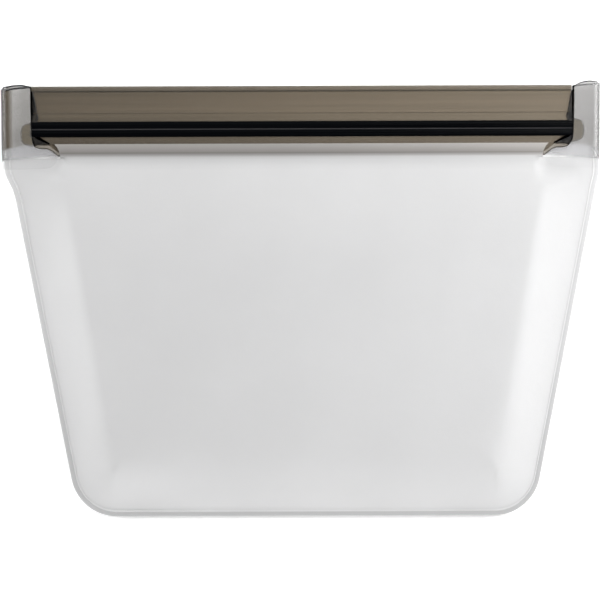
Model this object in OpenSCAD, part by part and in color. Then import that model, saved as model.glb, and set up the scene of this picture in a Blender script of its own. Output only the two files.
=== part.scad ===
// Reusable zip-closed food bag, lying on its back.
// +X runs across the mouth, +Y from the bottom seam to the mouth, +Z up through the front wall.
// The origin is the centre of the footprint, on the surface that the bag lies on.

/* [Bag outline] */
// Width across the two end caps, at the mouth
mouth_width = 212; // [200:1:224]
// Width that the straight sides would reach at the bottom edge
bottom_width = 161.2; // [150:0.2:170]
// Lean of each side, outwards towards the mouth, in degrees
side_lean = 11.1; // [9:0.1:12]
// Height of the body, from the bottom edge to the end caps
body_height = 123; // [115:1:135]
// Radius of the two bottom corners
corner_r = 16.5; // [10:0.5:20]

/* [Walls] */
// Thickness of the frosted film
film = 0.8; // [0.6:0.1:1]
// Width of the welded seam round the sides and bottom
seam_width = 1.9; // [1.5:0.1:3]
// Height of the front wall's raised face above the surface, at its fullest
front_rise = 14; // [11:0.5:20]
// How far the raised face stands in from the bottom edge
bottom_slope = 21; // [16:1:26]
// How far the raised face stands in from each side, at its fullest
side_slope = 15; // [12:1:18]

/* [Zip band] */
// Height of the tinted band, from its welded margin to its lip
band_height = 23.4; // [20:0.2:28]
// Thickness of the tinted band
band_t = 0.7; // [0.5:0.1:1]
// Space between the two bands when the zip is shut
band_gap = 1.6; // [1.4:0.1:2]
// How far the body film laps over the band
weld_lap = 2.8; // [2:0.2:4]
// Distance from the foot of the band to the lower track's middle
track_offset = 6.5; // [5:0.1:8]
// Distance between the two tracks' middles
track_pitch = 3.1; // [2.8:0.1:3.6]

/* [End caps] */
// Width of each end cap's sleeve
cap_width = 10.4; // [8:0.2:12]
// Length of the foot, from the cap's outer edge
foot_length = 18.3; // [16:0.1:22]
// How far the caps stand past the band's lip
cap_rise = 1.3; // [0.5:0.1:2]

/* [Hidden] */

// Gap between the front wall, which moves, and what stays with the seams
clear = 0.3;
// Overcut, so that a cutting solid passes the face it opens
past = 1;
arc_steps = 14;

// Heights through the thickness: film, band, gap, band, film
mid_z = film + band_t + band_gap/2;
rear_band_z = film;
front_band_z = mid_z + band_gap/2;
front_film_z = front_band_z + band_t;
stack_top = front_film_z + film;

// Places along the bag, measured from the bottom edge
foot_top = body_height + 6.1;
band_foot = body_height + 6.4;
band_lip = band_foot + band_height;
lap_edge = band_foot + weld_lap;
lower_track_y = band_foot + track_offset;
upper_track_y = lower_track_y + track_pitch;
cap_top = band_lip + cap_rise;

// Places across the bag, measured from the middle
cap_outer = mouth_width/2;
cap_inner = cap_outer - cap_width;
foot_inner = cap_outer - 1 - foot_length;

// Outline of the body, inset by a distance and closed at y_top
function side_x(y, inset) = bottom_width/2 + y*tan(side_lean) - inset/cos(side_lean);
corner_x = side_x(corner_r, corner_r);
function right_edge(inset, y_top) = concat(
    [for (i = [0:arc_steps])
        let (a = -90 + i*(90 - side_lean)/arc_steps)
        [corner_x + (corner_r - inset)*cos(a), corner_r + (corner_r - inset)*sin(a)]],
    [[side_x(y_top, inset), y_top]]);
function mirrored(points) = [for (i = [len(points) - 1:-1:0]) [-points[i][0], points[i][1]]];
function body_outline(inset, y_top) = concat(right_edge(inset, y_top), mirrored(right_edge(inset, y_top)));

// Puts the middle of the bag's length at the origin
module centred() translate([0, -cap_top/2, 0]) children();

// Draws a section given as [along the bag, through the thickness], and runs it across the mouth
module across(half) translate([-half, 0, 0]) rotate([90, 0, 90]) linear_extrude(2*half) children();

module plate(points, z, t) translate([0, 0, z]) linear_extrude(t) polygon(points);

module perimeter_seam() color([0.78, 0.79, 0.80]) centred()
    translate([0, 0, mid_z - film]) linear_extrude(2*film) difference() {
        polygon(body_outline(0, body_height));
        polygon(body_outline(seam_width, body_height + past));
    }

// Shallow tray: a flat floor whose rim climbs to the seam and meets its inner edge
rim_height = mid_z - clear;
rim_weld = rim_height - (mid_z - film);
rim_run = 5;
sliver = 0.01;
module tray(lift, y_top) hull() {
    plate(body_outline(seam_width + rim_run, y_top), lift, sliver);
    plate(body_outline(seam_width, y_top), lift + rim_height - rim_weld, rim_weld);
}

module rear_panel() color([0.86, 0.87, 0.88]) centred() {
    difference() {
        tray(0, body_height);
        tray(film, body_height + past);
    }
    translate([-foot_inner, body_height - past, 0]) cube([2*foot_inner, lap_edge - body_height + past, film]);
}

// Raised front face: a rim just inside the seam, a face that keeps full for most of the way up, and a
// drop to the band. Given a skin, it is the space inside, which runs past the rim and the band's end.
crease_r = 6;
drop_power = 6;
// How much further in from the sides the creases lie, for each millimetre up the face
crease_drift = 0.04;
// Where along the face it is drawn, from its full lower edge (0) towards the band (1)
face_parts = [0, 0.6, 0.8, 0.9];
rim_spread = 2.2;
front_rim_z = mid_z + clear;
mouth_half = foot_inner - clear;
face_length = band_foot - bottom_slope;
function face_z(part) = front_rise - (front_rise - stack_top)*pow(part, drop_power);
function crease_x(run) = side_x(bottom_slope + run, 0) - side_slope - crease_drift*run;
module raised_face(skin, extra) hull() {
    plate(body_outline(seam_width + clear + rim_spread*skin, body_height - clear + extra),
        front_rim_z - extra, sliver);
    for (side = [-1, 1], part = face_parts) {
        run = part*face_length;
        r = min(crease_r, (face_z(part) - front_rim_z)/2);
        translate([side*crease_x(run), bottom_slope + run, face_z(part) - r]) sphere(r - skin, $fn = 32);
    }
    translate([-mouth_half + skin, band_foot - sliver + extra, front_rim_z - extra])
        cube([2*(mouth_half - skin), sliver, stack_top - skin - front_rim_z + extra]);
}

module front_panel() color([0.90, 0.91, 0.92]) centred() {
    difference() {
        raised_face(0, 0);
        raised_face(film, past);
        // Room for the feet of the end caps
        for (side = [0, 1])
            mirror([side, 0, 0]) translate([mouth_half, body_height - clear, 0])
                cube([cap_outer, cap_top, front_rise]);
    }
    // The lap over the band's foot
    translate([-mouth_half, band_foot - sliver, front_film_z]) cube([2*mouth_half, weld_lap + sliver, film]);
}

// Section of a band lying on z = 0, with its lip bead and its grip rib on the outside
lip_bead = 1.9;
bead_r = 0.6;
grip_rib_y = 13.8;
grip_rib_r = 0.35;
module band_section() {
    square([band_height - bead_r, band_t]);
    translate([band_height - lip_bead, 0]) square([lip_bead - bead_r, 2*bead_r]);
    translate([band_height - bead_r, bead_r]) circle(bead_r, $fn = 32);
    translate([grip_rib_y, band_t]) circle(grip_rib_r, $fn = 24);
}

// Plan of the right-hand stretch where the two bands are fused into one: it narrows to nothing at the lip
fused_at_tracks = 2.9;
fused_at_foot = 6.2;
track_margin = 1.4;
module fused_plan() polygon([
    [cap_inner + past, band_foot], [cap_inner - fused_at_foot, band_foot],
    [cap_inner - fused_at_tracks, lower_track_y - track_margin],
    [cap_inner - fused_at_tracks, upper_track_y + track_margin],
    [cap_inner, band_lip], [cap_inner + past, band_lip]
]);

// Runs a section across the mouth and stops it short of the fused ends by the gap
module between_ends(gap) difference() {
    across(cap_inner - gap) children();
    for (side = [0, 1])
        mirror([side, 0, 0]) translate([-gap, 0, 0]) linear_extrude(stack_top) fused_plan();
}

module front_band() color([0.42, 0.37, 0.31]) centred()
    between_ends(clear) translate([band_foot, front_band_z]) band_section();

module rear_band() color([0.42, 0.37, 0.31]) centred()
    between_ends(0) translate([band_foot, rear_band_z + band_t]) mirror([0, 1]) band_section();

// Male rib: a stem with an arrow head
track_half = cap_inner - fused_at_tracks;
stem_half = 0.3;
head_half = 0.6;
head_low = 0.6;
head_top = band_gap - 0.5;
module rib(y) color([0.03, 0.03, 0.04]) centred()
    across(track_half) translate([y, rear_band_z + band_t]) polygon([
        [-stem_half, 0], [stem_half, 0], [stem_half, head_low], [head_half, head_low],
        [stem_half, head_top], [-stem_half, head_top], [-head_half, head_low], [-stem_half, head_low]
    ]);

// Female channel: a base with two hooked arms, open towards the rib
channel_half = 1.25;
arm_t = 0.35;
hook_gap = 0.7;
hook_t = 0.3;
base_t = 0.4;
channel_depth = band_gap - 0.2;
module channel(y) color([0.03, 0.03, 0.04]) centred()
    across(track_half - clear) translate([y, front_band_z]) mirror([0, 1]) difference() {
        translate([-channel_half, 0]) square([2*channel_half, channel_depth]);
        translate([-channel_half + arm_t, base_t])
            square([2*(channel_half - arm_t), channel_depth - base_t - hook_t]);
        translate([-hook_gap, base_t]) square([2*hook_gap, channel_depth]);
    }

module rear_upper_rib() rib(upper_track_y);
module rear_lower_rib() rib(lower_track_y);
module front_upper_channel() channel(upper_track_y);
module front_lower_channel() channel(lower_track_y);

// Clear sleeve over the end of the zip: a sheet folded round the outer edge and open at the lip,
// with a rounded foot that is welded to the body's corner
sleeve_lean = atan(1.2/31);
foot_r = 3;
round_r = 2;
module folded_sheet() {
    for (z = [0, front_film_z])
        translate([-2*cap_width, z]) square([2*cap_width - stack_top/2 + sliver, film]);
    translate([-stack_top/2, stack_top/2]) intersection() {
        difference() {
            circle(stack_top/2, $fn = 48);
            circle(stack_top/2 - film, $fn = 48);
        }
        translate([0, -stack_top]) square(2*stack_top);
    }
}
module sleeve_plan() {
    translate([cap_inner, foot_top - past]) square([cap_width - round_r, cap_top - foot_top + past]);
    translate([cap_inner, foot_top - past]) square([cap_width, cap_top - round_r - foot_top + past]);
    translate([cap_outer - round_r, cap_top - round_r]) circle(round_r, $fn = 32);
}
module foot_plan() {
    translate([foot_inner + foot_r, body_height])
        square([cap_outer - 1 - foot_inner - foot_r, foot_top - body_height]);
    for (y = [body_height + foot_r, foot_top - foot_r])
        translate([foot_inner + foot_r, y]) circle(foot_r, $fn = 32);
}
module end_cap() color([0.75, 0.74, 0.73]) centred() {
    linear_extrude(stack_top) foot_plan();
    intersection() {
        linear_extrude(stack_top) sleeve_plan();
        translate([cap_outer, cap_top, 0]) rotate([0, 0, -sleeve_lean])
            translate([0, past, 0]) rotate([90, 0, 0]) linear_extrude(2*cap_top) folded_sheet();
    }
}
module right_end_cap() end_cap();
module left_end_cap() mirror([1, 0, 0]) end_cap();

// Fused end of the zip: the bands' last stretch, and a slightly thinner rounded lug inside the sleeve
lug_inset = 0.1;
lug_length = 4;
lug_height = 7.6;
lug_r = 1.5;
lug_foot = (lower_track_y + upper_track_y - lug_height)/2 - 1;
module lug_plan() {
    translate([cap_inner, lug_foot]) square([lug_length - lug_r, lug_height]);
    translate([cap_inner, lug_foot + lug_r]) square([lug_length, lug_height - 2*lug_r]);
    for (y = [lug_foot + lug_r, lug_foot + lug_height - lug_r])
        translate([cap_inner + lug_length - lug_r, y]) circle(lug_r, $fn = 24);
}
module zipper_end() color([0.35, 0.31, 0.27]) centred() {
    translate([0, 0, film]) linear_extrude(front_film_z - film) fused_plan();
    translate([0, 0, film + lug_inset]) linear_extrude(front_film_z - film - 2*lug_inset) lug_plan();
}
module right_zipper_end() zipper_end();
module left_zipper_end() mirror([1, 0, 0]) zipper_end();

rear_panel();
perimeter_seam();
rear_band();
rear_upper_rib();
rear_lower_rib();
left_end_cap();
right_end_cap();
left_zipper_end();
right_zipper_end();
front_panel();
front_band();
front_upper_channel();
front_lower_channel();
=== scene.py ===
"""Looks of the reusable zip-closed food bag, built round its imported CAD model.

The bag lies on its back with its mouth towards +Y. Lengths below are in millimetres, with x from the
middle of the bag, y from its bottom edge and z from the surface that it lies on. place() turns them
into the frame's metres.
"""

import math

import bmesh
import bpy
import numpy as np
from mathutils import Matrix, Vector, noise


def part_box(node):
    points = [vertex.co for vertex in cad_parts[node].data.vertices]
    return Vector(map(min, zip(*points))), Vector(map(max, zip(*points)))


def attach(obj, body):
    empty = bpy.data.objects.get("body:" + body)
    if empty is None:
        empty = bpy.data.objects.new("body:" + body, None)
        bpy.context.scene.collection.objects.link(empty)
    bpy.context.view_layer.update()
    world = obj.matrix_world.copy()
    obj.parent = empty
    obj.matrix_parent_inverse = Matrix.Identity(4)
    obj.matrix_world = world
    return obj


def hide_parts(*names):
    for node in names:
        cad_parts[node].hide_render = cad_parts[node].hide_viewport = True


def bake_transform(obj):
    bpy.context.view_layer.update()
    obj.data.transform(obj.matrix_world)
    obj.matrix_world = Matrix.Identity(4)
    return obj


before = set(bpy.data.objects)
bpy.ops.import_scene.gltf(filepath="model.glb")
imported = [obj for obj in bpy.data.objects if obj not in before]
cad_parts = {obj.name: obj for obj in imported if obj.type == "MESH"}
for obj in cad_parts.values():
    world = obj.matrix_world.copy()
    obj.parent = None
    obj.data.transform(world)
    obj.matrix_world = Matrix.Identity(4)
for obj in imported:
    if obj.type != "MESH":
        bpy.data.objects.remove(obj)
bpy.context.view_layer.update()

MM = 0.001

# ---------------------------------------------------------------- sizes, from the frame

seam_low, seam_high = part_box("perimeter_seam")
band_low, band_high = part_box("front_band")
rear_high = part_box("rear_band")[1]
film_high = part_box("front_panel")[1]
cap_low, cap_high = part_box("right_end_cap")
channel_low, channel_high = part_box("front_lower_channel")
upper_low, upper_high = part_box("front_upper_channel")
rib_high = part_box("rear_lower_rib")[1]
BOTTOM = seam_low[1]


def up_bag(y):
    """Millimetres from the bottom edge of the bag, for a y of the frame."""
    return (y - BOTTOM) / MM


BODY_HEIGHT = up_bag(seam_high[1])
SEAM_LOW_Z, SEAM_TOP_Z = seam_low[2] / MM, seam_high[2] / MM
# Thickness of a film and of a band
FILM = 0.8
BAND_T = 0.7
FRONT_Z = band_low[2] / MM + BAND_T
REAR_Z = rear_high[2] / MM - BAND_T
STACK_TOP = cap_high[2] / MM
BAND_FOOT = up_bag(band_low[1])
BAND_LIP = up_bag(band_high[1])
LAP_EDGE = up_bag(film_high[1])
LOWER_TRACK = up_bag((channel_low[1] + channel_high[1]) / 2)
UPPER_TRACK = up_bag((upper_low[1] + upper_high[1]) / 2)
TRACK_MIDDLE = (LOWER_TRACK + UPPER_TRACK) / 2
CHANNEL_HALF = (channel_high[1] - channel_low[1]) / 2 / MM
CHANNEL_LOW_Z = channel_low[2] / MM
RIB_TOP_Z = rib_high[2] / MM
CAP_TOP = up_bag(cap_high[1])
CAP_OUTER = cap_high[0] / MM
CAP_FOOT_INNER = cap_low[0] / MM
CAP_WIDTH = 10.4
CAP_INNER = CAP_OUTER - CAP_WIDTH
FULL_Z = film_high[2] / MM

# The body's outline, as the seam has it
LEAN = math.radians(11.1)
CORNER_R = 16.5
SEAM_W = 1.9
BOTTOM_HALF = seam_high[0] / MM - BODY_HEIGHT * math.tan(LEAN)
CORNER_X = BOTTOM_HALF + CORNER_R * math.tan(LEAN) - CORNER_R / math.cos(LEAN)
# Inside the caps' feet the sides lean no further, and the films end a little short of the band
LEAN_TOP = BODY_HEIGHT - 1
FILM_TOP = BAND_FOOT - 2.2

# The pouch lies a little to the right of its mouth, as film does
SKEW = 1.1
SKEW_FROM, SKEW_TO = 112.0, 126.0
# And its sides flare a little where they run into the caps' feet
FLARE = 1.1
FLARE_FROM, FLARE_TO = 114.0, 123.0


def ease(t):
    t = np.clip(t, 0, 1)
    return t * t * (3 - 2 * t)


def place(points):
    """The frame's metres for points of the bag in millimetres, with the pouch moved over by its skew."""
    p = np.array(points, float)
    p[..., 0] += SKEW * (1 - ease((p[..., 1] - SKEW_FROM) / (SKEW_TO - SKEW_FROM)))
    p *= MM
    p[..., 1] += BOTTOM
    return p


def half_width(y):
    """Half the body's width, which stays the same from LEAN_TOP up."""
    flare = FLARE * ease((y - FLARE_FROM) / (FLARE_TO - FLARE_FROM))
    return BOTTOM_HALF + np.minimum(y, LEAN_TOP) * math.tan(LEAN) + flare


def outline(arc_steps=28, side_steps=60):
    """Points down the left side, round the bottom and up the right, with each one's inward direction."""
    arc = [math.radians(-90) + i * (math.radians(90) - LEAN) / arc_steps for i in range(arc_steps + 1)]
    rounds = [(CORNER_X + CORNER_R * math.cos(a), CORNER_R + CORNER_R * math.sin(a), a) for a in arc]
    side = [(half_width(y), y, arc[-1]) for y in np.linspace(rounds[-1][1], FILM_TOP, side_steps + 1)[1:]]
    bottom = [(x * CORNER_X, 0, math.radians(-90)) for x in np.linspace(-1, 1, 62)[1:-1]]
    right = rounds + side
    left = [(-x, y, math.pi - a) for x, y, a in reversed(right)]
    whole = left + bottom + right
    xy = np.array([(x, y) for x, y, _ in whole])
    inward = np.array([(-math.cos(a), -math.sin(a)) for _, _, a in whole])
    return xy, inward


# ---------------------------------------------------------------- meshes


def finish_mesh(name, verts, faces, materials, sharp=40, which=None, values=None):
    """A smooth-shaded object from millimetre points, its normals outwards and its corners kept crisp.
    which gives each face its place in the list of materials, and values gives named numbers to the
    points, for a material to read."""
    mesh = bpy.data.meshes.new(name)
    mesh.from_pydata([tuple(v) for v in place(verts)], [], faces)
    for material in materials:
        mesh.materials.append(material)
    if which is not None:
        mesh.polygons.foreach_set("material_index", which)
    for label, numbers in (values or {}).items():
        mesh.attributes.new(label, "FLOAT", "POINT").data.foreach_set("value", numbers)
    mesh.validate()
    bm = bmesh.new()
    bm.from_mesh(mesh)
    bmesh.ops.remove_doubles(bm, verts=bm.verts, dist=1e-7)
    bmesh.ops.recalc_face_normals(bm, faces=bm.faces)
    bm.to_mesh(mesh)
    bm.free()
    mesh.shade_smooth()
    mesh.set_sharp_from_angle(angle=math.radians(sharp))
    obj = bpy.data.objects.new(name, mesh)
    bpy.context.scene.collection.objects.link(obj)
    return obj


def ring_faces(rows, cols, first=0):
    """Quads between closed rings: rows of them, each of cols points."""
    faces = []
    for r in range(rows - 1):
        for c in range(cols):
            d = (c + 1) % cols
            below, above = first + r * cols, first + (r + 1) * cols
            faces.append((below + c, below + d, above + d, above + c))
    return faces


def sweep(name, stations, material, sharp=40, open_start=False, second=None, on_second=None, values=None):
    """A solid from a list of closed sections, each the same number of points, with capped ends.
    on_second says which faces have the second material, by their section and their place round it."""
    stations = np.asarray(stations, float)
    n, m = stations.shape[:2]
    faces = ring_faces(n, m)
    which = [int(second is not None and on_second(r, c)) for r in range(n - 1) for c in range(m)]
    faces.append(tuple(range((n - 1) * m, n * m))[::-1])
    which.append(0)
    if not open_start:
        faces.append(tuple(range(m)))
        which.append(int(second is not None and on_second(0, 0)))
    materials = [material] if second is None else [material, second]
    return finish_mesh(name, stations.reshape(-1, 3), faces, materials, sharp, which, values)


def shell(name, outer, inner, material, keep, open_start=False):
    """A sheet between two grids of points. keep says which cells are there, and open_start leaves
    the side of the first column open, where the other half of the piece goes on."""
    rows, cols = outer.shape[:2]
    n = rows * cols
    faces = []

    def at(r, c, layer):
        return layer * n + r * cols + c

    def there(r, c):
        return 0 <= r < rows - 1 and 0 <= c < cols - 1 and keep[r, c]

    for r in range(rows - 1):
        for c in range(cols - 1):
            if not keep[r, c]:
                continue
            faces.append((at(r, c, 0), at(r, c + 1, 0), at(r + 1, c + 1, 0), at(r + 1, c, 0)))
            faces.append((at(r, c, 1), at(r + 1, c, 1), at(r + 1, c + 1, 1), at(r, c + 1, 1)))
            edges = (
                ((r - 1, c), (r, c), (r, c + 1)),
                ((r + 1, c), (r + 1, c + 1), (r + 1, c)),
                ((r, c - 1), (r + 1, c), (r, c)),
                ((r, c + 1), (r, c + 1), (r + 1, c + 1)),
            )
            for beside, a, b in edges:
                if not there(*beside) and not (open_start and beside[1] < 0):
                    faces.append((at(*b, 0), at(*a, 0), at(*a, 1), at(*b, 1)))
    verts = np.concatenate([outer.reshape(-1, 3), inner.reshape(-1, 3)])
    used = sorted({i for f in faces for i in f})
    new = {old: i for i, old in enumerate(used)}
    faces = [tuple(new[i] for i in f) for f in faces]
    return finish_mesh(name, verts[used], faces, [material])


# ---------------------------------------------------------------- materials


def new_material(name):
    mat = bpy.data.materials.new(name)
    mat.use_nodes = True
    tree = mat.node_tree
    return mat, tree, tree.nodes["Principled BSDF"]


def link(tree, a, b):
    tree.links.new(a, b)


def coords(tree):
    return tree.nodes.new("ShaderNodeTexCoord").outputs["Object"]


def scaled_coords(tree, scale):
    node = tree.nodes.new("ShaderNodeMapping")
    node.inputs["Scale"].default_value = scale
    link(tree, coords(tree), node.inputs["Vector"])
    return node.outputs["Vector"]


def noise_out(tree, scale, detail=3.0, roughness=0.5, stretch=(1, 1, 1)):
    node = tree.nodes.new("ShaderNodeTexNoise")
    node.inputs["Scale"].default_value = scale
    node.inputs["Detail"].default_value = detail
    node.inputs["Roughness"].default_value = roughness
    link(tree, scaled_coords(tree, stretch), node.inputs["Vector"])
    return node.outputs["Fac"]


def ramp(tree, value, stops):
    """A colour or grey for value, from (position, colour) stops."""
    node = tree.nodes.new("ShaderNodeValToRGB")
    elements = node.color_ramp.elements
    while len(elements) < len(stops):
        elements.new(0.5)
    for element, (position, colour) in zip(elements, stops):
        element.position = position
        element.color = (*colour, 1)
    link(tree, value, node.inputs["Fac"])
    return node.outputs["Color"]


def between(tree, value, low, high):
    """value taken from low..high to 0..1, and held there."""
    node = tree.nodes.new("ShaderNodeMapRange")
    node.inputs["From Min"].default_value = low
    node.inputs["From Max"].default_value = high
    link(tree, value, node.inputs["Value"])
    return node.outputs["Result"]


def mix(tree, factor, a, b, mode="MIX"):
    node = tree.nodes.new("ShaderNodeMix")
    node.data_type = "RGBA"
    node.blend_type = mode
    # The sockets of a colour mix: its factor, A and B
    for socket, value in ((node.inputs[0], factor), (node.inputs[6], a), (node.inputs[7], b)):
        if isinstance(value, bpy.types.NodeSocket):
            link(tree, value, socket)
        else:
            socket.default_value = value if isinstance(value, float) else (*value, 1)
    return node.outputs[2]


def bump(tree, height, strength, distance, onto=None):
    node = tree.nodes.new("ShaderNodeBump")
    node.inputs["Strength"].default_value = strength
    node.inputs["Distance"].default_value = distance
    link(tree, height, node.inputs["Height"])
    if onto is not None:
        link(tree, onto, node.inputs["Normal"])
    return node.outputs["Normal"]


def axis(tree, name):
    node = tree.nodes.new("ShaderNodeSeparateXYZ")
    link(tree, coords(tree), node.inputs[0])
    return node.outputs[name]


def grey(v):
    return (v, v, v)


def place_ramp(tree, name, stops, origin):
    """A colour by place along an axis, from (millimetres from origin, colour) stops."""
    low, high = stops[0][0], stops[-1][0]
    at = between(tree, axis(tree, name), origin + low * MM, origin + high * MM)
    return ramp(tree, at, [((mm - low) / (high - low), colour) for mm, colour in stops])


# The front film over the band's foot, in millimetres from that foot: darker where the tinted band shows
# through the welded lap, and a painted soft shadow that fades out below the foot
LAP_SHADES = [
    (-4.8, (1.0, 1.0, 1.0)), (-3.0, (0.965, 0.965, 0.965)), (-2.1, (0.86, 0.86, 0.855)),
    (-1.75, (0.785, 0.78, 0.775)), (-1.45, (0.645, 0.635, 0.625)), (-1.1, (0.535, 0.52, 0.51)),
    (-0.75, (0.445, 0.43, 0.42)), (-0.4, (0.345, 0.325, 0.305)), (-0.1, (0.435, 0.415, 0.395)),
    (0.6, (0.495, 0.475, 0.45)), (1.6, (0.565, 0.545, 0.525)), (2.8, (0.635, 0.61, 0.585)),
]
# Painted light: the lap is this much paler towards the right, as the light falls from the right, and all of
# it from PALEST_AT outwards
LAP_PAINTED_LIGHT_AT_RIGHT = 1.25
PALEST_AT = 95

# The welded margin is darkest along the bottom, in millimetres from the bottom edge
SEAM_SHADES = [(0.0, grey(0.80)), (6.0, grey(0.86)), (40.0, grey(0.95)), (76.0, grey(1.0))]


def frosted(name, tone, let_through, shades=None, origin=0.0, painted_light_at_right=1.0):
    """Frosted film: part of the light scatters back and part goes on through."""
    mat, tree, bsdf = new_material(name)
    cloudy = noise_out(tree, 28, 4.0, 0.55)
    colour = ramp(tree, cloudy, [(0.3, tuple(0.965 * t for t in tone)), (0.7, tone)])
    if shades:
        shade = place_ramp(tree, "Y", shades, origin)
        # A copy of the shades made paler by painted light, which takes over towards the right
        pale = [(mm, tuple(min(1, painted_light_at_right * c) for c in dark)) for mm, dark in shades]
        across = place_ramp(tree, "X", [(0, grey(0)), (PALEST_AT, grey(1))], 0)
        shade = mix(tree, across, shade, place_ramp(tree, "Y", pale, origin))
        colour = mix(tree, 1.0, colour, shade, "MULTIPLY")
    link(tree, colour, bsdf.inputs["Base Color"])
    bsdf.inputs["Roughness"].default_value = 0.42
    bsdf.inputs["IOR"].default_value = 1.41
    bsdf.inputs["Specular IOR Level"].default_value = 0.35
    grain = noise_out(tree, 2600, 2.0, 0.6)
    waves = noise_out(tree, 160, 2.0)
    normal = bump(tree, grain, 0.25, 0.00012)
    normal = bump(tree, waves, 0.12, 0.0006, normal)
    link(tree, normal, bsdf.inputs["Normal"])
    through = tree.nodes.new("ShaderNodeBsdfTranslucent")
    link(tree, colour, through.inputs["Color"])
    link(tree, normal, through.inputs["Normal"])
    both = tree.nodes.new("ShaderNodeMixShader")
    both.inputs[0].default_value = let_through
    link(tree, bsdf.outputs[0], both.inputs[1])
    link(tree, through.outputs[0], both.inputs[2])
    link(tree, both.outputs[0], tree.nodes["Material Output"].inputs["Surface"])
    return mat


# Painted light: the band is darker towards its left end and lighter towards its right, as the light falls
# from the right
BAND_PAINTED_LIGHT_ACROSS = [(-95, grey(0.64)), (0, grey(0.89)), (95, grey(1.04))]


def tinted(name, tone, alpha, rough, streaks=0.12, shades=None):
    """Smoke-tinted clear plastic with the fine lines that extruding leaves along it."""
    mat, tree, bsdf = new_material(name)
    lines = noise_out(tree, 900, 3.0, 0.6, (0.01, 1, 1))
    darker = tuple(t * (1 - streaks) for t in tone)
    colour = ramp(tree, lines, [(0.35, darker), (0.65, tone)])
    if shades:
        # Painted light and shade on the band, by height and across it
        shade = place_ramp(tree, "Y", shades, BOTTOM + BAND_LIP * MM)
        colour = mix(tree, 1.0, colour, shade, "MULTIPLY")
        colour = mix(tree, 1.0, colour, place_ramp(tree, "X", BAND_PAINTED_LIGHT_ACROSS, 0), "MULTIPLY")
    link(tree, colour, bsdf.inputs["Base Color"])
    bsdf.inputs["Alpha"].default_value = alpha
    bsdf.inputs["Roughness"].default_value = rough
    bsdf.inputs["IOR"].default_value = 1.45
    link(tree, bump(tree, lines, 0.3, 0.00008), bsdf.inputs["Normal"])
    return mat


def melted():
    """Dark plastic that was melted under the heat bar: uneven, with soft blots."""
    mat, tree, bsdf = new_material("fused_zip")
    blots = noise_out(tree, 420, 3.0, 0.6)
    dark = ramp(tree, blots, [(0.42, (0.003, 0.003, 0.0035)), (0.66, (0.035, 0.032, 0.028))])
    link(tree, dark, bsdf.inputs["Base Color"])
    bsdf.inputs["Roughness"].default_value = 0.38
    bsdf.inputs["Specular IOR Level"].default_value = 0.2
    link(tree, bump(tree, blots, 0.5, 0.0004), bsdf.inputs["Normal"])
    return mat


def black_track():
    """Black extruded plastic, with a painted highlight: a thin paler line in the groove between the two
    tracks.
    """
    mat, tree, bsdf = new_material("zip_track")
    lines = noise_out(tree, 1500, 2.0, 0.6, (0.004, 1, 1))
    black = ramp(tree, lines, [(0.3, (0.0004, 0.0006, 0.001)), (0.7, (0.0015, 0.0018, 0.0024))])
    painted_glint = [(-0.3, grey(0)), (-0.06, grey(1)), (0.06, grey(1)), (0.3, grey(0))]
    glint = place_ramp(tree, "Y", painted_glint, BOTTOM + TRACK_MIDDLE * MM)
    link(tree, mix(tree, glint, black, (0.03, 0.03, 0.032)), bsdf.inputs["Base Color"])
    link(tree, ramp(tree, lines, [(0.3, grey(0.26)), (0.7, grey(0.36))]), bsdf.inputs["Roughness"])
    bsdf.inputs["Specular IOR Level"].default_value = 0.08
    link(tree, bump(tree, lines, 0.35, 0.00006), bsdf.inputs["Normal"])
    return mat


def painted(tree, label):
    """A number that the mesh code gave to the points."""
    node = tree.nodes.new("ShaderNodeAttribute")
    node.attribute_name = label
    return node.outputs["Fac"]


# The caps' sleeves and feet by distance in from the fold: millimetres, colour and how dense it is. Near the
# fold the colour is painted shade, a dark edge, and on the left cap a painted brown band where the light from
# the right refracts
LEFT_SLEEVE_TONE_AND_SHADE = [
    (0.0, (0.02, 0.02, 0.02), 0.92), (0.4, (0.03, 0.027, 0.023), 0.75), (0.9, (0.09, 0.08, 0.067), 0.48),
    (1.3, (0.07, 0.056, 0.04), 0.46), (1.7, (0.053, 0.037, 0.018), 0.48), (2.2, (0.063, 0.045, 0.023), 0.44),
    (3.0, (0.12, 0.097, 0.064), 0.32), (4.2, (0.26, 0.248, 0.23), 0.19), (7.0, (0.25, 0.238, 0.22), 0.21),
]
RIGHT_SLEEVE_TONE_AND_SHADE = [
    (0.0, (0.05, 0.05, 0.05), 0.90), (0.45, (0.09, 0.088, 0.085), 0.65), (0.85, (0.2, 0.195, 0.19), 0.30),
    (1.3, (0.26, 0.253, 0.245), 0.235), (7.0, (0.26, 0.253, 0.245), 0.235),
]
FOOT = [
    (0.0, grey(0.08), 0.85), (0.5, grey(0.12), 0.65), (0.8, grey(0.30), 0.35), (1.3, grey(0.34), 0.28),
    (1.8, grey(0.30), 0.33), (4.0, (0.42, 0.42, 0.43), 0.235),
]
# How dense each foot (-1 left, 1 right) is beside that, and how much of it shows where it lies on the films
FOOT_DENSE = {-1: 1.3, 1: 1.0}
DENSE_ON_FILM = {-1: 0.1, 1: 0.04}


def fold_looks(tree, fold, shades):
    """Colour and density from a list by distance in from the fold."""
    deep = shades[-1][0]
    at = between(tree, fold, 0, deep)
    colour = ramp(tree, at, [(mm / deep, tone) for mm, tone, _ in shades])
    return colour, ramp(tree, at, [(mm / deep, grey(dense)) for mm, _, dense in shades])


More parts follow.
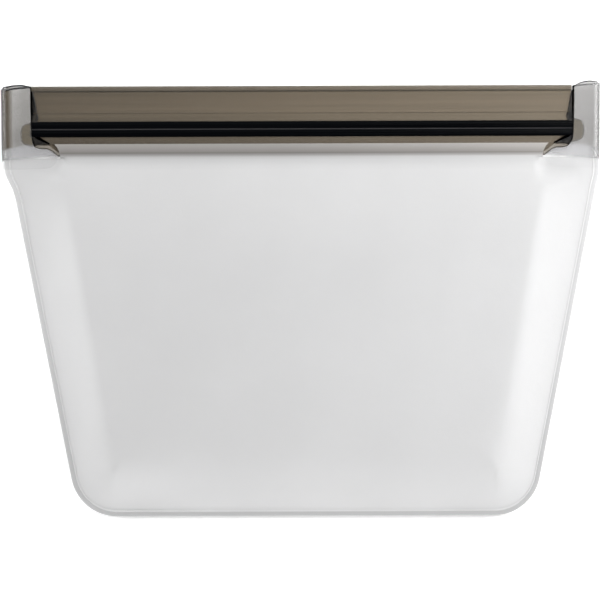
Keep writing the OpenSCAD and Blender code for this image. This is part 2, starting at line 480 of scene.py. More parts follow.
def clear_cap(name, side, sleeve_shades):
    """Clear plastic with a trace of smoke, denser where one looks along it at the fold, with painted shade
    there: a dark edge, and a brown band on the left cap where the light refracts.
    """
    mat, tree, bsdf = new_material(name)
    fold, sleeve = painted(tree, "from_fold"), painted(tree, "sleeve")
    sleeve_tone, sleeve_dense = fold_looks(tree, fold, sleeve_shades)
    foot_shades = [(mm, tone, min(1, FOOT_DENSE[side] * dense)) for mm, tone, dense in FOOT]
    foot_tone, foot_dense = fold_looks(tree, fold, foot_shades)
    thin = mix(tree, 1.0, foot_dense, grey(DENSE_ON_FILM[side]), "MULTIPLY")
    foot_dense = mix(tree, painted(tree, "on_film"), foot_dense, thin)
    colour = mix(tree, sleeve, foot_tone, sleeve_tone)
    cloudy = noise_out(tree, 120, 3.0)
    colour = mix(tree, 1.0, colour, ramp(tree, cloudy, [(0.3, grey(0.88)), (0.7, grey(1.0))]), "MULTIPLY")
    link(tree, colour, bsdf.inputs["Base Color"])
    link(tree, mix(tree, sleeve, foot_dense, sleeve_dense), bsdf.inputs["Alpha"])
    bsdf.inputs["Roughness"].default_value = 0.16
    bsdf.inputs["IOR"].default_value = 1.45
    bsdf.inputs["Specular IOR Level"].default_value = 0.3
    link(tree, bump(tree, noise_out(tree, 220, 2.0), 0.2, 0.0004), bsdf.inputs["Normal"])
    return mat


# Painted light and shade up the band, in millimetres from its lip: a gradient as the light falls on it, and
# painted shadow lines in the groove under the lip's bead and along the grip rib
BAND_SHADES = [
    (-23.4, (0.84, 0.84, 0.84)), (-17.8, (0.95, 0.95, 0.95)), (-12.7, (1.0, 1.0, 1.0)),
    (-10.1, (1.22, 1.22, 1.2)), (-9.9, (1.22, 1.22, 1.2)), (-9.8, (0.72, 0.69, 0.66)),
    (-9.6, (0.72, 0.69, 0.66)), (-9.5, (1.2, 1.18, 1.16)), (-8.2, (1.2, 1.18, 1.16)),
    (-5.0, (1.1, 1.08, 1.06)), (-2.25, (1.0, 0.98, 0.94)), (-2.0, (0.28, 0.26, 0.22)),
    (-1.75, (0.4, 0.4, 0.36)), (-1.5, (0.95, 0.97, 1.0)), (0.0, (1.02, 1.05, 1.08)),
]

FILM_TONE = (0.70, 0.70, 0.703)
film_front = frosted("front_film", FILM_TONE, 0.42, LAP_SHADES, BOTTOM + BAND_FOOT * MM, LAP_PAINTED_LIGHT_AT_RIGHT)
film_rear = frosted("rear_film", FILM_TONE, 0.42)
film_seam = frosted("seam_film", (0.615, 0.615, 0.618), 0.3, SEAM_SHADES, BOTTOM)
# Painted highlight: the seam's bead is lighter than the strip it lies on
seam_bead_highlight = frosted("seam_bead_highlight", (0.76, 0.76, 0.763), 0.42)
band_tint = tinted("tinted_band", (0.158, 0.127, 0.088), 0.52, 0.4, 0.2, BAND_SHADES)
tail_tint = tinted("fused_tail", (0.28, 0.24, 0.185), 0.45, 0.25, 0.2)
tab_tint = tinted("zip_tab", (0.10, 0.07, 0.016), 0.78, 0.25, 0.2)
# Painted shade: a dark margin round the tail and the tab, as clear plastic looks dark at its edges
tail_rim_shade = tinted("fused_tail_rim_shade", (0.06, 0.05, 0.037), 0.7, 0.25, 0.2)
melted_dark = melted()
track_black = black_track()
cap_clear = {-1: clear_cap("left_cap", -1, LEFT_SLEEVE_TONE_AND_SHADE), 1: clear_cap("right_cap", 1, RIGHT_SLEEVE_TONE_AND_SHADE)}
# Painted shade along the caps' open ends: a dark edge, darker on the left cap than on the right
cap_lip_shades = {
    -1: tinted("left_cap_lip_shade", (0.02, 0.021, 0.023), 0.85, 0.2),
    1: tinted("right_cap_lip_shade", (0.07, 0.07, 0.07), 0.5, 0.2),
}

# ---------------------------------------------------------------- frosted panels

INNER_R = CORNER_R - SEAM_W
RIM_Z = SEAM_TOP_Z - 0.02
LAP_HALF = CAP_FOOT_INNER - 1.1
# The films' edges lie this far under the seam's strip
UNDER_SEAM = 0.5
# Inside the caps' feet: how high the front film lies, how high the rear one, and how far in that reaches
PINCH_TOP, PINCH_LOW = 3.6, 1.05
PINCH_REACH, PINCH_OVER = 4.7, 5.0
# The front face is full up to FULL_AT, and from there it runs down to the zip at DOWN_AT
FACE_Z = FULL_Z - 0.4
FULL_AT, DOWN_AT = 21.0, 124.5
RUN_DOWN_POWER = 5.5
# The face is crowned in the middle, out to CROWN_HALF, and the side slopes widen up to SLOPES_WIDEN_TO
CROWN, CROWN_HALF = 0.5, 75
SLOPES_WIDEN_TO = 112
# How much the left and right slopes hang in, which comes on from HANG_FROM over as far again
HANG_LEFT, HANG_RIGHT, HANG_FROM = 0.22, 0.12, 30
# Soft dents in the front film: how deep, how wide, and where in the noise they are drawn from
DENT, DENT_WIDE, DENT_SEED = 0.05, 22, 3.0
# The lap widens by this part of itself up to its edge
LAP_FLARE, LAP_FLARE_POWER = 0.024, 2.2
# The rear film rises over this width to the seam
REAR_SLOPE = 5.5


def seam_distance(x, y):
    """How far points lie inside the body's outer edge and inside its sides, and which are in a corner."""
    x = np.abs(x)
    side = (half_width(y) - x) * math.cos(LEAN)
    dx, dy = x - CORNER_X, y - CORNER_R
    angle = np.arctan2(dy, dx)
    in_corner = (angle > -math.pi / 2) & (angle < -LEAN) & (dx > 0)
    return np.where(in_corner, CORNER_R - np.hypot(dx, dy), np.minimum(side, y)), side, in_corner


def raised_z(x, y):
    """Height of the front film: slopes up from the seam to a face that runs down to the zip."""
    d, side, in_corner = seam_distance(x, y)
    up = np.clip((y - CORNER_R) / (SLOPES_WIDEN_TO - CORNER_R), 0, 1.2)
    side_run = INNER_R * (0.93 + 0.20 * up)
    bottom_run = INNER_R * (1 + 0.2 * np.clip(1 - (x / CORNER_X) ** 2, 0, 1))
    f = np.where(
        in_corner,
        (d - SEAM_W) / (INNER_R * 0.98),
        np.minimum((side - SEAM_W) / side_run, (y - SEAM_W) / bottom_run),
    )
    hang = HANG_LEFT * ease((-x - HANG_FROM) / HANG_FROM) + HANG_RIGHT * ease((x - HANG_FROM) / HANG_FROM)
    f = np.maximum(f, 0) ** (1 + hang)
    # The creases are sharper the nearer they are to the zip
    soft = 0.03 + 0.11 * np.clip(1 - y / BODY_HEIGHT, 0, 1) + 0.13 * np.clip(1 - (y - 10) / 30, 0, 1)
    climb = 1 - soft * np.logaddexp(0, (1 - f) / soft)
    run_down = np.clip((y - FULL_AT) / (DOWN_AT - FULL_AT), 0, 1) ** RUN_DOWN_POWER
    top = FACE_Z - (FACE_Z - STACK_TOP) * run_down
    crown = CROWN * np.clip(1 - (x / CROWN_HALF) ** 2, 0, 1) * np.sin(np.clip(y / BAND_FOOT, 0, 1) * math.pi)
    z = RIM_Z + (top + crown - RIM_Z) * climb
    return np.maximum(z, RIM_Z)


def pressed(x, y):
    """1 where the films lie pinched inside a cap's foot, and 0 away from it."""
    across = ease((np.abs(x) - CAP_FOOT_INNER + PINCH_REACH) / PINCH_OVER)
    return across * ease((y - BODY_HEIGHT + PINCH_OVER) / PINCH_OVER)


def film_edge(y, inset):
    """Half the film's width. It grows with the lean of the sides up to the caps, and not inside them."""
    return half_width(y) - inset / math.cos(LEAN)


def trapezoid_grid(us, vs, inset, y_top):
    """Points over the body. us run across from -1 to 1 and vs from bottom to top."""
    rows = []
    for v in vs:
        y = inset + v * (y_top - inset)
        rows.append([(u * film_edge(y, inset), y) for u in us])
    p = np.array(rows)
    # Bends the square corners to the outline's arc
    r = CORNER_R - inset
    for side in (-1, 1):
        x, y = p[..., 0] * side, p[..., 1]
        edge = BOTTOM_HALF + y * math.tan(LEAN) - inset / math.cos(LEAN)
        a = np.clip((x - CORNER_X) / np.maximum(edge - CORNER_X, 1e-6), 0, 1)
        b = np.clip((CORNER_R - y) / r, 0, 1)
        inside = (x > CORNER_X) & (y < CORNER_R)
        m = np.maximum(a, b)
        # A direction from straight down, where a is 0, to square to the side, where b is 0
        turn = np.where(a >= b, b / np.maximum(a, 1e-9) * 0.5, 1 - a / np.maximum(b, 1e-9) * 0.5)
        angle = -LEAN - turn * (math.pi / 2 - LEAN)
        px = CORNER_X + m * r * np.cos(angle)
        py = CORNER_R + m * r * np.sin(angle)
        p[..., 0] = np.where(inside, side * px, p[..., 0])
        p[..., 1] = np.where(inside, py, p[..., 1])
    return p


def spread(a, b, n):
    """n even steps from a to b, with both ends."""
    return list(np.linspace(a, b, n + 1))


def front_half(name, side):
    """Left (side -1) or right (side 1) half of the front film, with its lap over the band's foot."""
    inset = SEAM_W - UNDER_SEAM
    y_top = FILM_TOP
    top_edge = film_edge(y_top, inset)
    tongue_u = LAP_HALF / top_edge
    corner_u = CORNER_X / (BOTTOM_HALF - inset / math.cos(LEAN))
    # Columns stand on the corner's start and on the lap's end, and closer together towards the side
    first, second = sorted((corner_u, tongue_u))
    us = spread(0, 0.72, 32)[:-1] + spread(0.72, first, 14)[:-1]
    us += spread(first, second, 2)[:-1] + spread(second, 1, 20)
    us = [side * u for u in us]
    corner_v = (CORNER_R - inset) / (y_top - inset)
    vs = spread(0, corner_v, 14)[:-1] + spread(corner_v, 1, 74)
    body = trapezoid_grid(us, vs, inset, y_top)
    # The lap's end curves out towards the cap, as the film is trimmed round it
    lap_ys = spread(y_top, LAP_EDGE, 12)[1:]
    lean = [1 + LAP_FLARE * ((y - y_top) / (LAP_EDGE - y_top)) ** LAP_FLARE_POWER for y in lap_ys]
    lap = np.array([[(u * top_edge * k, y) for u in us] for y, k in zip(lap_ys, lean)])
    xy = np.concatenate([body, lap])
    x, y = xy[..., 0], xy[..., 1]
    z = raised_z(x, y)
    z = np.where(y > BAND_FOOT, STACK_TOP, z)
    pinch = pressed(x, y)
    z = z + (np.minimum(z, PINCH_TOP) - z) * np.where(y > y_top + 0.01, 0, pinch)
    for i in np.ndindex(z.shape):
        dent = DENT * noise.noise(Vector((x[i] / DENT_WIDE, y[i] / DENT_WIDE, DENT_SEED)))
        z[i] += dent * min(1, max(0, z[i] - RIM_Z))
    outer = np.dstack([x, y, z])
    inner = np.dstack([x, y, z - FILM])
    keep = np.ones((xy.shape[0] - 1, xy.shape[1] - 1), bool)
    beyond = [abs(us[c + 1]) > tongue_u + 1e-6 for c in range(len(us) - 1)]
    for r in range(len(vs) - 1, keep.shape[0]):
        keep[r, beyond] = False
    return shell(name, outer, inner, film_front, keep, open_start=True)


def rear_whole():
    """The whole rear film: flat on the surface, up to the seam all round, with its lap over the band."""
    inset = SEAM_W - UNDER_SEAM
    us = spread(-1, 1, 120)
    vs = spread(0, 0.12, 12)[:-1] + spread(0.12, 1, 50)
    y_top = FILM_TOP
    xy = trapezoid_grid(us, vs, inset, y_top)
    top_edge = film_edge(y_top, inset)
    lap = np.array([[(u * top_edge, y) for u in us] for y in spread(y_top, LAP_EDGE, 4)[1:]])
    xy = np.concatenate([xy, lap])
    x, y = xy[..., 0], xy[..., 1]
    d = seam_distance(x, y)[0]
    t = np.clip((SEAM_W + REAR_SLOPE - d) / REAR_SLOPE, 0, 1)
    rise = (SEAM_LOW_Z + 0.12) * t * t * (3 - 2 * t)
    low = np.maximum(rise, PINCH_LOW * pressed(x, y) * (y < y_top + 0.01))
    outer = np.dstack([x, y, low + FILM])
    inner = np.dstack([x, y, low])
    keep = np.ones((xy.shape[0] - 1, xy.shape[1] - 1), bool)
    beyond = [max(abs(u), abs(v)) * top_edge > CAP_FOOT_INNER for u, v in zip(us, us[1:])]
    for r in range(len(vs) - 1, keep.shape[0]):
        keep[r, beyond] = False
    return shell("rear_film_panel", outer, inner, film_rear, keep)


SEAM_EDGE_R = 0.35
# The seam's bead: how far off the strip its middle lies, its half width and its height
BEAD_OFF, BEAD_HALF, BEAD_HIGH = 0.1, 0.3, 0.15


def seam_ring():
    """The welded margin: a flat strip with rounded edges and a fine bead along its inner side, which is
    painted lighter as a highlight.
    """
    w, lo, hi, r = SEAM_W, SEAM_LOW_Z, SEAM_TOP_Z, SEAM_EDGE_R

    def quarter(cx, cz, start):
        turn = [math.radians(start - k * 90 / 5) for k in range(6)]
        return [(cx + r * math.cos(a), cz + r * math.sin(a)) for a in turn]

    section = quarter(r, hi - r, 180)
    first_of_bead = len(section)
    bead = np.radians(np.linspace(180, 0, 9))
    section += [(w + BEAD_OFF + BEAD_HALF * math.cos(a), hi + BEAD_HIGH * math.sin(a)) for a in bead]
    last_of_bead = len(section) - 1
    section += quarter(w - r, lo + r, 0) + quarter(r, lo + r, -90)
    xy, inward = outline()
    stations = [[(p[0] + s * n[0], p[1] + s * n[1], z) for s, z in section] for p, n in zip(xy, inward)]

    def on_bead(_, c):
        return first_of_bead <= c < last_of_bead

    return sweep("perimeter_seam_strip", stations, film_seam, second=seam_bead_highlight, on_second=on_bead)


# ---------------------------------------------------------------- zip band and tracks

CELLS_ALONG = 110
# How far the tracks run on into the caps
TRACKS_ON = 0.7
# The grip rib on a band, up from the band's foot, and the radius of its rolled lip
GRIP_RIB_UP = 13.8
LIP_R = 0.6
# How far in from the cap's inner edge the two bands are fused, by height
FUSED_REACH = [(BAND_FOOT, 9.0), (LAP_EDGE, 6.4), (134.4, 1.6), (140.4, 0.6), (BAND_LIP, -0.55)]


def band_end(y):
    """How far out from the middle a band runs, to where it is fused."""
    return CAP_INNER - np.interp(y, *zip(*FUSED_REACH))


def track_end(_):
    """How far out from the middle a track runs, the same at every height."""
    return CAP_INNER + TRACKS_ON


def along_mouth(name, section, material, half=0, end=band_end, sharp=35):
    """Runs a closed (y, z) section across the mouth, from the middle to one end (half is -1 or 1) or to
    both (0)."""
    ts = np.linspace(0, 1, CELLS_ALONG // 2 + 1) if half else np.linspace(-1, 1, CELLS_ALONG + 1)
    stations = [[((half or 1) * t * end(y), y, z) for y, z in section] for t in ts]
    return sweep(name, stations, material, sharp, open_start=bool(half))


def band_section(face, out):
    """Section of a band with its outer face at z = face. out is 1 where outwards is up, and -1 where it
    is down."""
    inner = face - out * BAND_T
    lip = BAND_LIP
    pts = [(BAND_FOOT, inner), (BAND_FOOT, face - out * 0.15), (BAND_FOOT + 0.15, face)]
    rib = BAND_FOOT + GRIP_RIB_UP
    pts += [(y, face) for y in spread(BAND_FOOT + 0.6, rib - 0.5, 8)]
    pts += [(rib - 0.28, face + out * 0.02), (rib - 0.14, face + out * 0.14), (rib, face + out * 0.18)]
    pts += [(rib + 0.14, face + out * 0.14), (rib + 0.28, face + out * 0.02)]
    pts += [(y, face) for y in spread(rib + 0.5, lip - 2.35, 8)]
    pts += [(lip - 2.2, face - out * 0.1), (lip - 2.05, face - out * 0.16), (lip - 1.93, face - out * 0.08)]
    pts += [(lip - 1.85, face + out * 0.3), (lip - 1.6, face + out * 0.46), (lip - 1.1, face + out * 0.5)]
    c_y, c_z = lip - LIP_R, face + out * (0.5 - LIP_R)
    roll = np.radians(np.linspace(90, -90, 13))
    pts += [(c_y + LIP_R * math.cos(a), c_z + out * LIP_R * math.sin(a)) for a in roll]
    pts += [(y, inner) for y in spread(lip - 1.4, BAND_FOOT + 0.6, 12)]
    return pts


def ridge(y, face, out, proud):
    """The outer face of a track: a smooth low ridge, wider on the side where it meets the other track."""
    towards = 1 if y < TRACK_MIDDLE else -1
    wide, narrow = abs(TRACK_MIDDLE - y) + 0.03, CHANNEL_HALF
    below, above = (narrow, wide) if towards > 0 else (wide, narrow)
    n = 14
    pts = []
    for k in range(n + 1):
        t = 2 * k / n - 1
        at = y + t * (above if t > 0 else below)
        pts.append((at, face + out * proud * (1 - abs(t) ** 3.2)))
    return pts


def channel_section(y):
    """Female track: hooked arms inside, a low ridge outside."""
    face = FRONT_Z
    low = CHANNEL_LOW_Z
    inner = face - BAND_T
    arm, hook, hook_t, base = 0.35, 0.7, 0.3, 0.4
    pts = ridge(y, face - 0.02, 1, 0.3)
    pts += [(y + CHANNEL_HALF, inner), (y + CHANNEL_HALF, low + 0.1), (y + CHANNEL_HALF - 0.1, low)]
    pts += [(y + hook, low), (y + hook, low + hook_t), (y + CHANNEL_HALF - arm, low + hook_t)]
    pts += [(y + CHANNEL_HALF - arm, inner - base), (y - CHANNEL_HALF + arm, inner - base)]
    pts += [(y - CHANNEL_HALF + arm, low + hook_t), (y - hook, low + hook_t), (y - hook, low)]
    pts += [(y - CHANNEL_HALF + 0.1, low), (y - CHANNEL_HALF, low + 0.1), (y - CHANNEL_HALF, inner)]
    return pts


def rib_section(y):
    """Male track: an arrow-headed rib inside, a low ridge outside."""
    face = REAR_Z
    half = CHANNEL_HALF
    inner = face + BAND_T
    stem, head = 0.3, 0.6
    top = RIB_TOP_Z
    pts = ridge(y, face + 0.02, -1, 0.3)
    pts += [(y + half * 0.7, inner), (y + stem + 0.1, inner + 0.02), (y + stem, inner + 0.15)]
    pts += [(y + stem, inner + 0.6), (y + head, inner + 0.6), (y + stem, top)]
    pts += [(y - stem, top), (y - head, inner + 0.6), (y - stem, inner + 0.6)]
    pts += [(y - stem, inner + 0.15), (y - stem - 0.1, inner + 0.02), (y - half * 0.7, inner)]
    return pts


# ---------------------------------------------------------------- end caps

CAP_STATIONS = 100
CURVE_STEPS = 6
# How far the edges of the fused zip's sheets are rounded
SHEET_EDGE = 0.12


def smooth_path(points, per):
    """A Catmull-Rom curve through points, with per steps from one to the next."""
    pts = [np.array(p, float) for p in points]
    out = []
    for i in range(len(pts) - 1):
        a, b, c, d = pts[max(i - 1, 0)], pts[i], pts[i + 1], pts[min(i + 2, len(pts) - 1)]
        for k in range(per):
            t = k / per
            square, cube = 2 * a - 5 * b + 4 * c - d, 3 * b - a - 3 * c + d
            out.append(0.5 * (2 * b + (c - a) * t + square * t**2 + cube * t**3))
    out.append(pts[-1])
    return out


# The cap's plan on the right-hand side: down its inner edge, in an S out to the foot, round the foot's
# end and back along its lower edge
INNER_EDGE = [
    (CAP_INNER + 0.9, CAP_TOP - 0.9), (CAP_INNER + 0.8, 146), (CAP_INNER + 0.6, 139),
    (CAP_INNER + 0.3, 134.2), (CAP_INNER - 0.2, 132.0), (CAP_INNER - 1.0, 130.9),
    (CAP_INNER - 2.7, 130.45), (CAP_INNER - 5.0, 130.35), (CAP_INNER - 6.6, 129.65),
    (CAP_FOOT_INNER + 0.8, 128.6), (CAP_FOOT_INNER + 0.2, 127.4), (CAP_FOOT_INNER + 0.3, 126.1),
    (CAP_FOOT_INNER + 1.2, 124.8), (CAP_FOOT_INNER + 2.7, 123.9), (CAP_FOOT_INNER + 4.3, 123.6),
    (CAP_FOOT_INNER + 10, 123.4), (CAP_OUTER - 2.6, 123.2),
]
OUTER_EDGE = [
    (CAP_OUTER - 0.05, CAP_TOP - 1.2), (CAP_OUTER - 0.15, 145), (CAP_OUTER - 0.25, 133),
    (CAP_OUTER - 0.45, 126), (CAP_OUTER - 0.6, 123.3),
]
# How the two caps (-1 left, 1 right) differ in where they sit: how far out the fold lies, and the sleeve's
# inner edge; and how far up the tab lies
FOLD_OUT = {-1: 0.9, 1: 0.3}
SLEEVE_OUT = {-1: 0.0, 1: 0.7}
TAB_UP = {-1: -0.5, 1: 0.6}
# Height above the band's lip of the open end's back and front edges, from the inner edge (0) to the
# fold (1)
LIP_BACK = {
    -1: [(0, 0.1), (0.12, 0.4), (0.32, 0.85), (0.62, 0.75), (0.93, 0.3), (1, -1.0)],
    1: [(0, -0.15), (0.26, 1.2), (0.5, 1.7), (0.65, 1.85), (0.9, 1.6), (1, 0.9)],
}
LIP_FRONT = {
    -1: [(0, -0.3), (0.5, -0.6), (0.9, -1.2), (1, -1.4)],
    1: [(0, -0.25), (0.5, 0.2), (0.9, 0.5), (1, 0.6)],
}
# Thickness of a cap's wall, and how far its foot is pressed in on each side
CAP_WALL = 0.6
CAP_SQUEEZE = 0.35
# The sleeve ends at this height, on a slant that lowers it towards its fold
SLEEVE_END, SLANT_FROM, SLEEVE_SLANT = 131.3, 98.5, 0.22
# The cap's last OPEN_END_OVER, from OPEN_END_FROM up, are drawn out to the heights of its open end
OPEN_END_FROM, OPEN_END_OVER = 147, 5
# Where the films end inside a cap's foot, on a slant of their own
FILM_EDGE_IN_CAP, FILM_EDGE_SLANT = 127.3, 0.09


def sleeve_shift(side, y):
    """How much further out than drawn the sleeve's inner edge lies, and the melted zip beside it."""
    return SLEEVE_OUT[side] * ease((y - 131) / 3)


def along(points, fractions):
    """Points at the given fractions of a path's length."""
    length = np.cumsum([0] + [math.dist(a, b) for a, b in zip(points, points[1:])])
    points = np.array(points)
    return np.array([[np.interp(f * length[-1], length, points[:, k]) for k in (0, 1)] for f in fractions])


def cap_edges(side):
    """For evenly spread stations along the cap, its inner-edge point and its point on the fold."""
    ins = along(smooth_path(INNER_EDGE, 8), np.linspace(0, 1, CAP_STATIONS))
    # The fold's point keeps level with the inner edge's on the way down, and waits while that rounds the foot
    ys = np.minimum.accumulate(ins[:, 1])
    outs = along(smooth_path(OUTER_EDGE, 12), (ys[0] - ys) / (ys[0] - ys[-1]))
    ins[:, 0] += sleeve_shift(side, ins[:, 1])
    outs[:, 0] += FOLD_OUT[side]
    return ins, outs


def cap_section(a, b, side):
    """Closed section of the cap from its inner edge at a to its fold at b: two sheets, joined round the fold.
    Gives x, y, z, the distance in from the fold, 1 in the sleeve or 0 in the foot, and 1 on the films."""
    mid = STACK_TOP / 2
    width = math.dist(a, b)
    way = (b - a) / width
    r = min(mid, 0.9 * width)
    arc = np.radians(np.linspace(90, 0, 8))
    flat = [(pos, 1.0) for pos in np.linspace(0, width - r, 10)[:-1]]
    outer = flat + [(width - r + r * math.cos(t), math.sin(t)) for t in arc]
    inner_r = max(r - CAP_WALL, 0.1)
    inner = flat + [(width - r + inner_r * math.cos(t), math.sin(t)) for t in arc]

    def point(pos, lift, drawn_in, sign):
        x, y = a + way * pos
        sleeve = float(ease((y + SLEEVE_SLANT * max(x - SLANT_FROM, 0) - SLEEVE_END) / 1.2))
        on_film = 1 - float(ease((y - FILM_EDGE_IN_CAP + FILM_EDGE_SLANT * (x - SLANT_FROM) + 0.3) / 0.6))
        half = mid - CAP_SQUEEZE * (1 - sleeve) - drawn_in
        z = mid + sign * half * lift
        near_lip = np.clip((y - OPEN_END_FROM) / OPEN_END_OVER, 0, 1)
        t = np.clip(pos / width, 0, 1)
        back, front = (np.interp(t, *zip(*heights[side])) for heights in (LIP_BACK, LIP_FRONT))
        y += near_lip * (BAND_LIP + back + (front - back) * (z / STACK_TOP) ** 1.5 - CAP_TOP + 1.0)
        return x, y, z, width - pos, sleeve, on_film

    loop = [point(pos, lift, 0, 1) for pos, lift in outer]
    loop += [point(pos, lift, 0, -1) for pos, lift in outer[-2::-1]]
    loop += [point(-0.14, 1, CAP_WALL / 2, -1)]
    loop += [point(pos, lift, CAP_WALL, -1) for pos, lift in inner]
    loop += [point(pos, lift, CAP_WALL, 1) for pos, lift in inner[-2::-1]]
    loop += [point(-0.14, 1, CAP_WALL / 2, 1)]
    return loop


def end_cap(name, side):
    """Clear cap: a sleeve, open at the lip and along its inner edge, pressed flat round the film at its
    foot."""
    sections = np.array([cap_section(a, b, side) for a, b in zip(*cap_edges(side))])
    labels = ("from_fold", "sleeve", "on_film")
    values = {label: sections[..., 3 + k].ravel() for k, label in enumerate(labels)}
    stations = sections[..., :3] * (side, 1, 1)

    def at_lip(r, _):
        return r == 0

    return sweep(name, stations, cap_clear[side], 50, second=cap_lip_shades[side], on_second=at_lip, values=values)


def closed_curve(points):
    """A smooth closed outline through points."""
    wrapped = smooth_path([points[-1]] + points + points[:2], CURVE_STEPS)
    return np.array(wrapped[CURVE_STEPS:CURVE_STEPS * (len(points) + 1)])


def cut_sheet(name, outlines, z0, z1, side, body, rim, rim_width=0.4):
    """Flat pieces of plastic from closed outlines in plan, with rounded edges. rim is the material of a
    margin as wide as rim_width."""
    verts, faces, rims = [], [], set()
    for outline_points in outlines:
        p = closed_curve(outline_points)
        p[:, 0] += sleeve_shift(side, p[:, 1])
        ahead, back = np.roll(p, -1, axis=0), np.roll(p, 1, axis=0)
        way = ahead - back
        inward = np.stack([-way[:, 1], way[:, 0]], axis=1) / np.linalg.norm(way, axis=1)[:, None]
        area = np.sum(p[:, 0] * ahead[:, 1] - ahead[:, 0] * p[:, 1])
        inward *= np.sign(area)
        edge, margin = SHEET_EDGE, SHEET_EDGE + rim_width
        rings = [(margin, z0), (edge, z0), (0, z0 + edge), (0, z1 - edge), (edge, z1), (margin, z1)]
        first, n = len(verts), len(p)
        for inset, z in rings:
            verts += [(side * x, y, z) for x, y in p + inward * inset]
        walls = ring_faces(len(rings), n, first)
        rims.update(range(len(faces), len(faces) + len(walls)))
        faces += walls
        faces.append(tuple(first + k for k in range(n)))
        faces.append(tuple(first + (len(rings) - 1) * n + k for k in range(n))[::-1])
    which = [1 if k in rims else 0 for k in range(len(faces))]
    return finish_mesh(name, verts, faces, [body, rim], 60, which)


# Where the two halves of the zip are melted together, in plan on the right-hand side
HEAT_LINE = [
    (CAP_INNER + 0.62, 152.5), (CAP_INNER + 0.75, 150.4), (CAP_INNER + 0.75, 146), (CAP_INNER + 0.55, 139),
    (CAP_INNER + 0.25, 134.2), (CAP_INNER - 0.3, 132.2), (CAP_INNER - 0.9, 131.4), (CAP_INNER - 1.1, 131.9),
    (CAP_INNER - 0.6, 133.4), (CAP_INNER - 0.2, 136), (CAP_INNER - 0.1, 139), (CAP_INNER, 146),
    (CAP_INNER + 0.05, 150.4), (CAP_INNER + 0.35, 152.4),
]
WEDGE = [
    (CAP_INNER + 0.4, 150.8), (CAP_INNER - 0.4, 150.3), (CAP_INNER - 1.1, 147.2), (CAP_INNER - 1.7, 143.9),
    (CAP_INNER - 2.2, 141.9), (CAP_INNER - 1.8, 140.4), (CAP_INNER - 1.2, 139.6), (CAP_INNER + 0.4, 139.6),
    (CAP_INNER + 0.6, 146),
]
BLOB = [
    (CAP_INNER + 0.1, 136.4), (CAP_INNER - 1.4, 134.8), (CAP_INNER - 3.0, 134.35), (CAP_INNER - 4.6, 133.5),
    (CAP_INNER - 6.3, 132.35), (CAP_INNER - 4.6, 132.05), (CAP_INNER - 2.2, 132.0), (CAP_INNER - 0.7, 131.8),
    (CAP_INNER + 0.1, 133.6),
]
TAIL = [
    (CAP_INNER - 0.5, 132.2), (CAP_INNER - 1.0, 131.1), (CAP_INNER - 2.7, 130.6), (CAP_INNER - 5.0, 130.5),
    (CAP_INNER - 6.6, 129.85), (CAP_INNER - 7.9, 128.85), (CAP_INNER - 9.0, 128.0), (CAP_INNER - 10.0, 128.1),
    (CAP_INNER - 10.2, 129.5), (CAP_INNER - 9.6, 130.9), (CAP_INNER - 8.7, 131.8), (CAP_INNER - 7.2, 132.15),
    (CAP_INNER - 4.0, 132.2),
]
TAB = [
    (CAP_INNER - 0.4, 139.8), (CAP_INNER + 1.6, 140.1), (CAP_INNER + 3.3, 139.4), (CAP_INNER + 4.1, 137.7),
    (CAP_INNER + 4.1, 134.8), (CAP_INNER + 3.3, 133.0), (CAP_INNER + 1.6, 132.3), (CAP_INNER - 0.4, 132.6),
]


def fused_end(name, side):
    """Dark melted plastic beside the cap: the heat line, the wedge over the tracks and the blob below."""
    shapes = [HEAT_LINE, WEDGE, BLOB]
    return cut_sheet(name, shapes, REAR_Z - 0.05, FRONT_Z + 0.12, side, melted_dark, melted_dark)


def fused_tail(name, side):
    """Paler brown plastic that runs out along the foot."""
    return cut_sheet(name, [TAIL], REAR_Z + 0.15, FRONT_Z - 0.05, side, tail_tint, tail_rim_shade, 0.28)


def zip_tab(name, side):
    """The tab of fused zip that the sleeve grips."""
    shape = [(x, y + TAB_UP[side]) for x, y in TAB]
    return cut_sheet(name, [shape], REAR_Z + 0.15, FRONT_Z - 0.05, side, tab_tint, tail_rim_shade, 0.34)


# ---------------------------------------------------------------- build

BODY, WALL = "seamed_rear", "front_wall"


def swing(piece):
    """Bakes the placing of a half of the front wall into its points."""
    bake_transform(piece)


for side, hand in ((-1, "left"), (1, "right")):
    film = front_half(f"front_film_{hand}", side)
    swing(film)
    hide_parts("front_panel")
    band = along_mouth(f"front_band_{hand}", band_section(FRONT_Z, 1), band_tint, side)
    swing(band)
    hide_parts("front_band")
    for level, y in (("upper", UPPER_TRACK), ("lower", LOWER_TRACK)):
        section = channel_section(y)
        track = along_mouth(f"front_{level}_channel_{hand}", section, track_black, side, track_end, 50)
        swing(track)
        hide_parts(f"front_{level}_channel")
    cap = end_cap(f"{hand}_cap_moulding", side)
    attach(cap, BODY)
    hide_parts(f"{hand}_end_cap")
    end = fused_end(f"{hand}_fused_zip", side)
    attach(end, BODY)
    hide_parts(f"{hand}_zipper_end")
    for small in (fused_tail(f"{hand}_zip_tail", side), zip_tab(f"{hand}_zip_tab", side)):
        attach(small, BODY)

panel = rear_whole()
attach(panel, BODY)
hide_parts("rear_panel")
strip = seam_ring()
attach(strip, BODY)
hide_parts("perimeter_seam")
back = along_mouth("rear_band_strip", band_section(REAR_Z, -1), band_tint)
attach(back, BODY)
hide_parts("rear_band")
for level, y in (("upper", UPPER_TRACK), ("lower", LOWER_TRACK)):
    rib = along_mouth(f"rear_{level}_rib_strip", rib_section(y), track_black, 0, track_end, 50)
    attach(rib, BODY)
    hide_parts(f"rear_{level}_rib")

# ---------------------------------------------------------------- floor, light and camera

# A little light from within keeps the floor white beside the bag
FLOOR_GLOW = 0.25
FLOOR_HALF, FLOOR_Z = 3.0, -2e-5


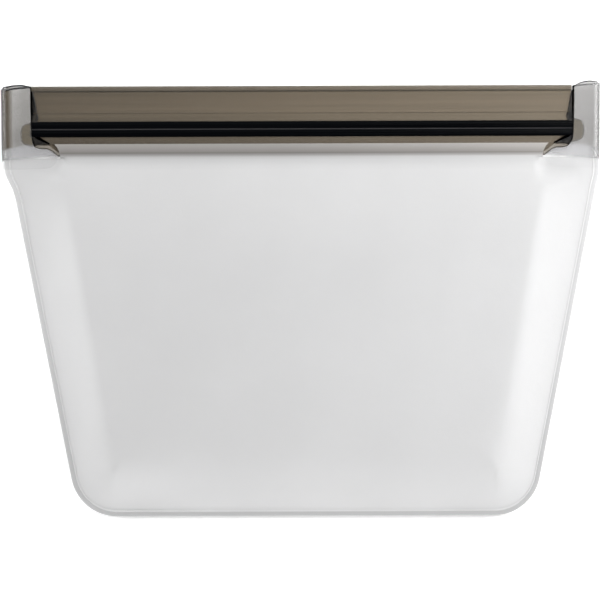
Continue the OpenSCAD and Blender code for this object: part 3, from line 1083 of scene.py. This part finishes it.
def floor():
    mat, tree, bsdf = new_material("pale_floor")
    tone = ramp(tree, noise_out(tree, 6, 2.0), [(0.3, grey(0.93)), (0.7, grey(0.95))])
    link(tree, tone, bsdf.inputs["Base Color"])
    bsdf.inputs["Roughness"].default_value = 0.9
    bsdf.inputs["Specular IOR Level"].default_value = 0.1
    bsdf.inputs["Emission Color"].default_value = (1, 1, 1, 1)
    bsdf.inputs["Emission Strength"].default_value = FLOOR_GLOW
    mesh = bpy.data.meshes.new("floor")
    corners = [(x * FLOOR_HALF, y * FLOOR_HALF, FLOOR_Z) for x, y in ((-1, -1), (1, -1), (1, 1), (-1, 1))]
    mesh.from_pydata(corners, [], [(0, 1, 2, 3)])
    obj = bpy.data.objects.new("floor", mesh)
    bpy.context.scene.collection.objects.link(obj)
    mesh.materials.append(mat)


def area_light(name, at, size, power, aim=(0, 0, 0)):
    data = bpy.data.lights.new(name, "AREA")
    data.shape = "RECTANGLE"
    data.size, data.size_y = size
    data.energy = power
    obj = bpy.data.objects.new(name, data)
    obj.location = at
    obj.rotation_euler = (Vector(aim) - Vector(at)).to_track_quat("-Z", "Y").to_euler()
    bpy.context.scene.collection.objects.link(obj)


floor()
area_light("key_right", (0.36, 0.17, 0.36), (0.3, 0.5), 3.65)
area_light("low_right", (0.70, 0.05, 0.20), (0.3, 0.9), 2.45)
area_light("fill_left", (-0.72, 0.25, 0.40), (0.5, 0.9), 3.85)
area_light("low_left", (-0.80, 0.05, 0.20), (0.3, 0.9), 5.7)
area_light("low_front", (0.1, -0.80, 0.1), (1.0, 0.2), 6.7)
area_light("low_back", (0.1, 0.75, 0.4), (1.2, 0.5), 1.1)

world = bpy.data.worlds.new("studio")
bpy.context.scene.world = world
world.use_nodes = True
# Pale all round and dark overhead, as over a table between soft boxes
sky = world.node_tree
height = sky.nodes.new("ShaderNodeSeparateXYZ")
link(sky, sky.nodes.new("ShaderNodeTexCoord").outputs["Generated"], height.inputs[0])
brightness = ramp(sky, height.outputs["Z"], [(0.3, grey(0.96)), (0.6, grey(0.0))])
link(sky, brightness, sky.nodes["Background"].inputs["Color"])

# The camera looks straight down, and takes in VIEW_WIDTH at the height of VIEW_LEVEL
VIEW_WIDTH, VIEW_LEVEL = 0.2130, 0.004
CAMERA_AT = (-0.0007, -0.0004, 1.3)
CAMERA_ROLL = math.radians(-0.2)
SENSOR = 36
camera = bpy.data.cameras.new("camera")
camera.sensor_width = SENSOR
camera.lens = SENSOR * (CAMERA_AT[2] - VIEW_LEVEL) / VIEW_WIDTH
camera.clip_start, camera.clip_end = 0.05, 20
eye = bpy.data.objects.new("camera", camera)
eye.location = CAMERA_AT
eye.rotation_euler = (0, 0, CAMERA_ROLL)
bpy.context.scene.collection.objects.link(eye)
bpy.context.scene.camera = eye

bpy.context.scene.view_settings.view_transform = "Standard"
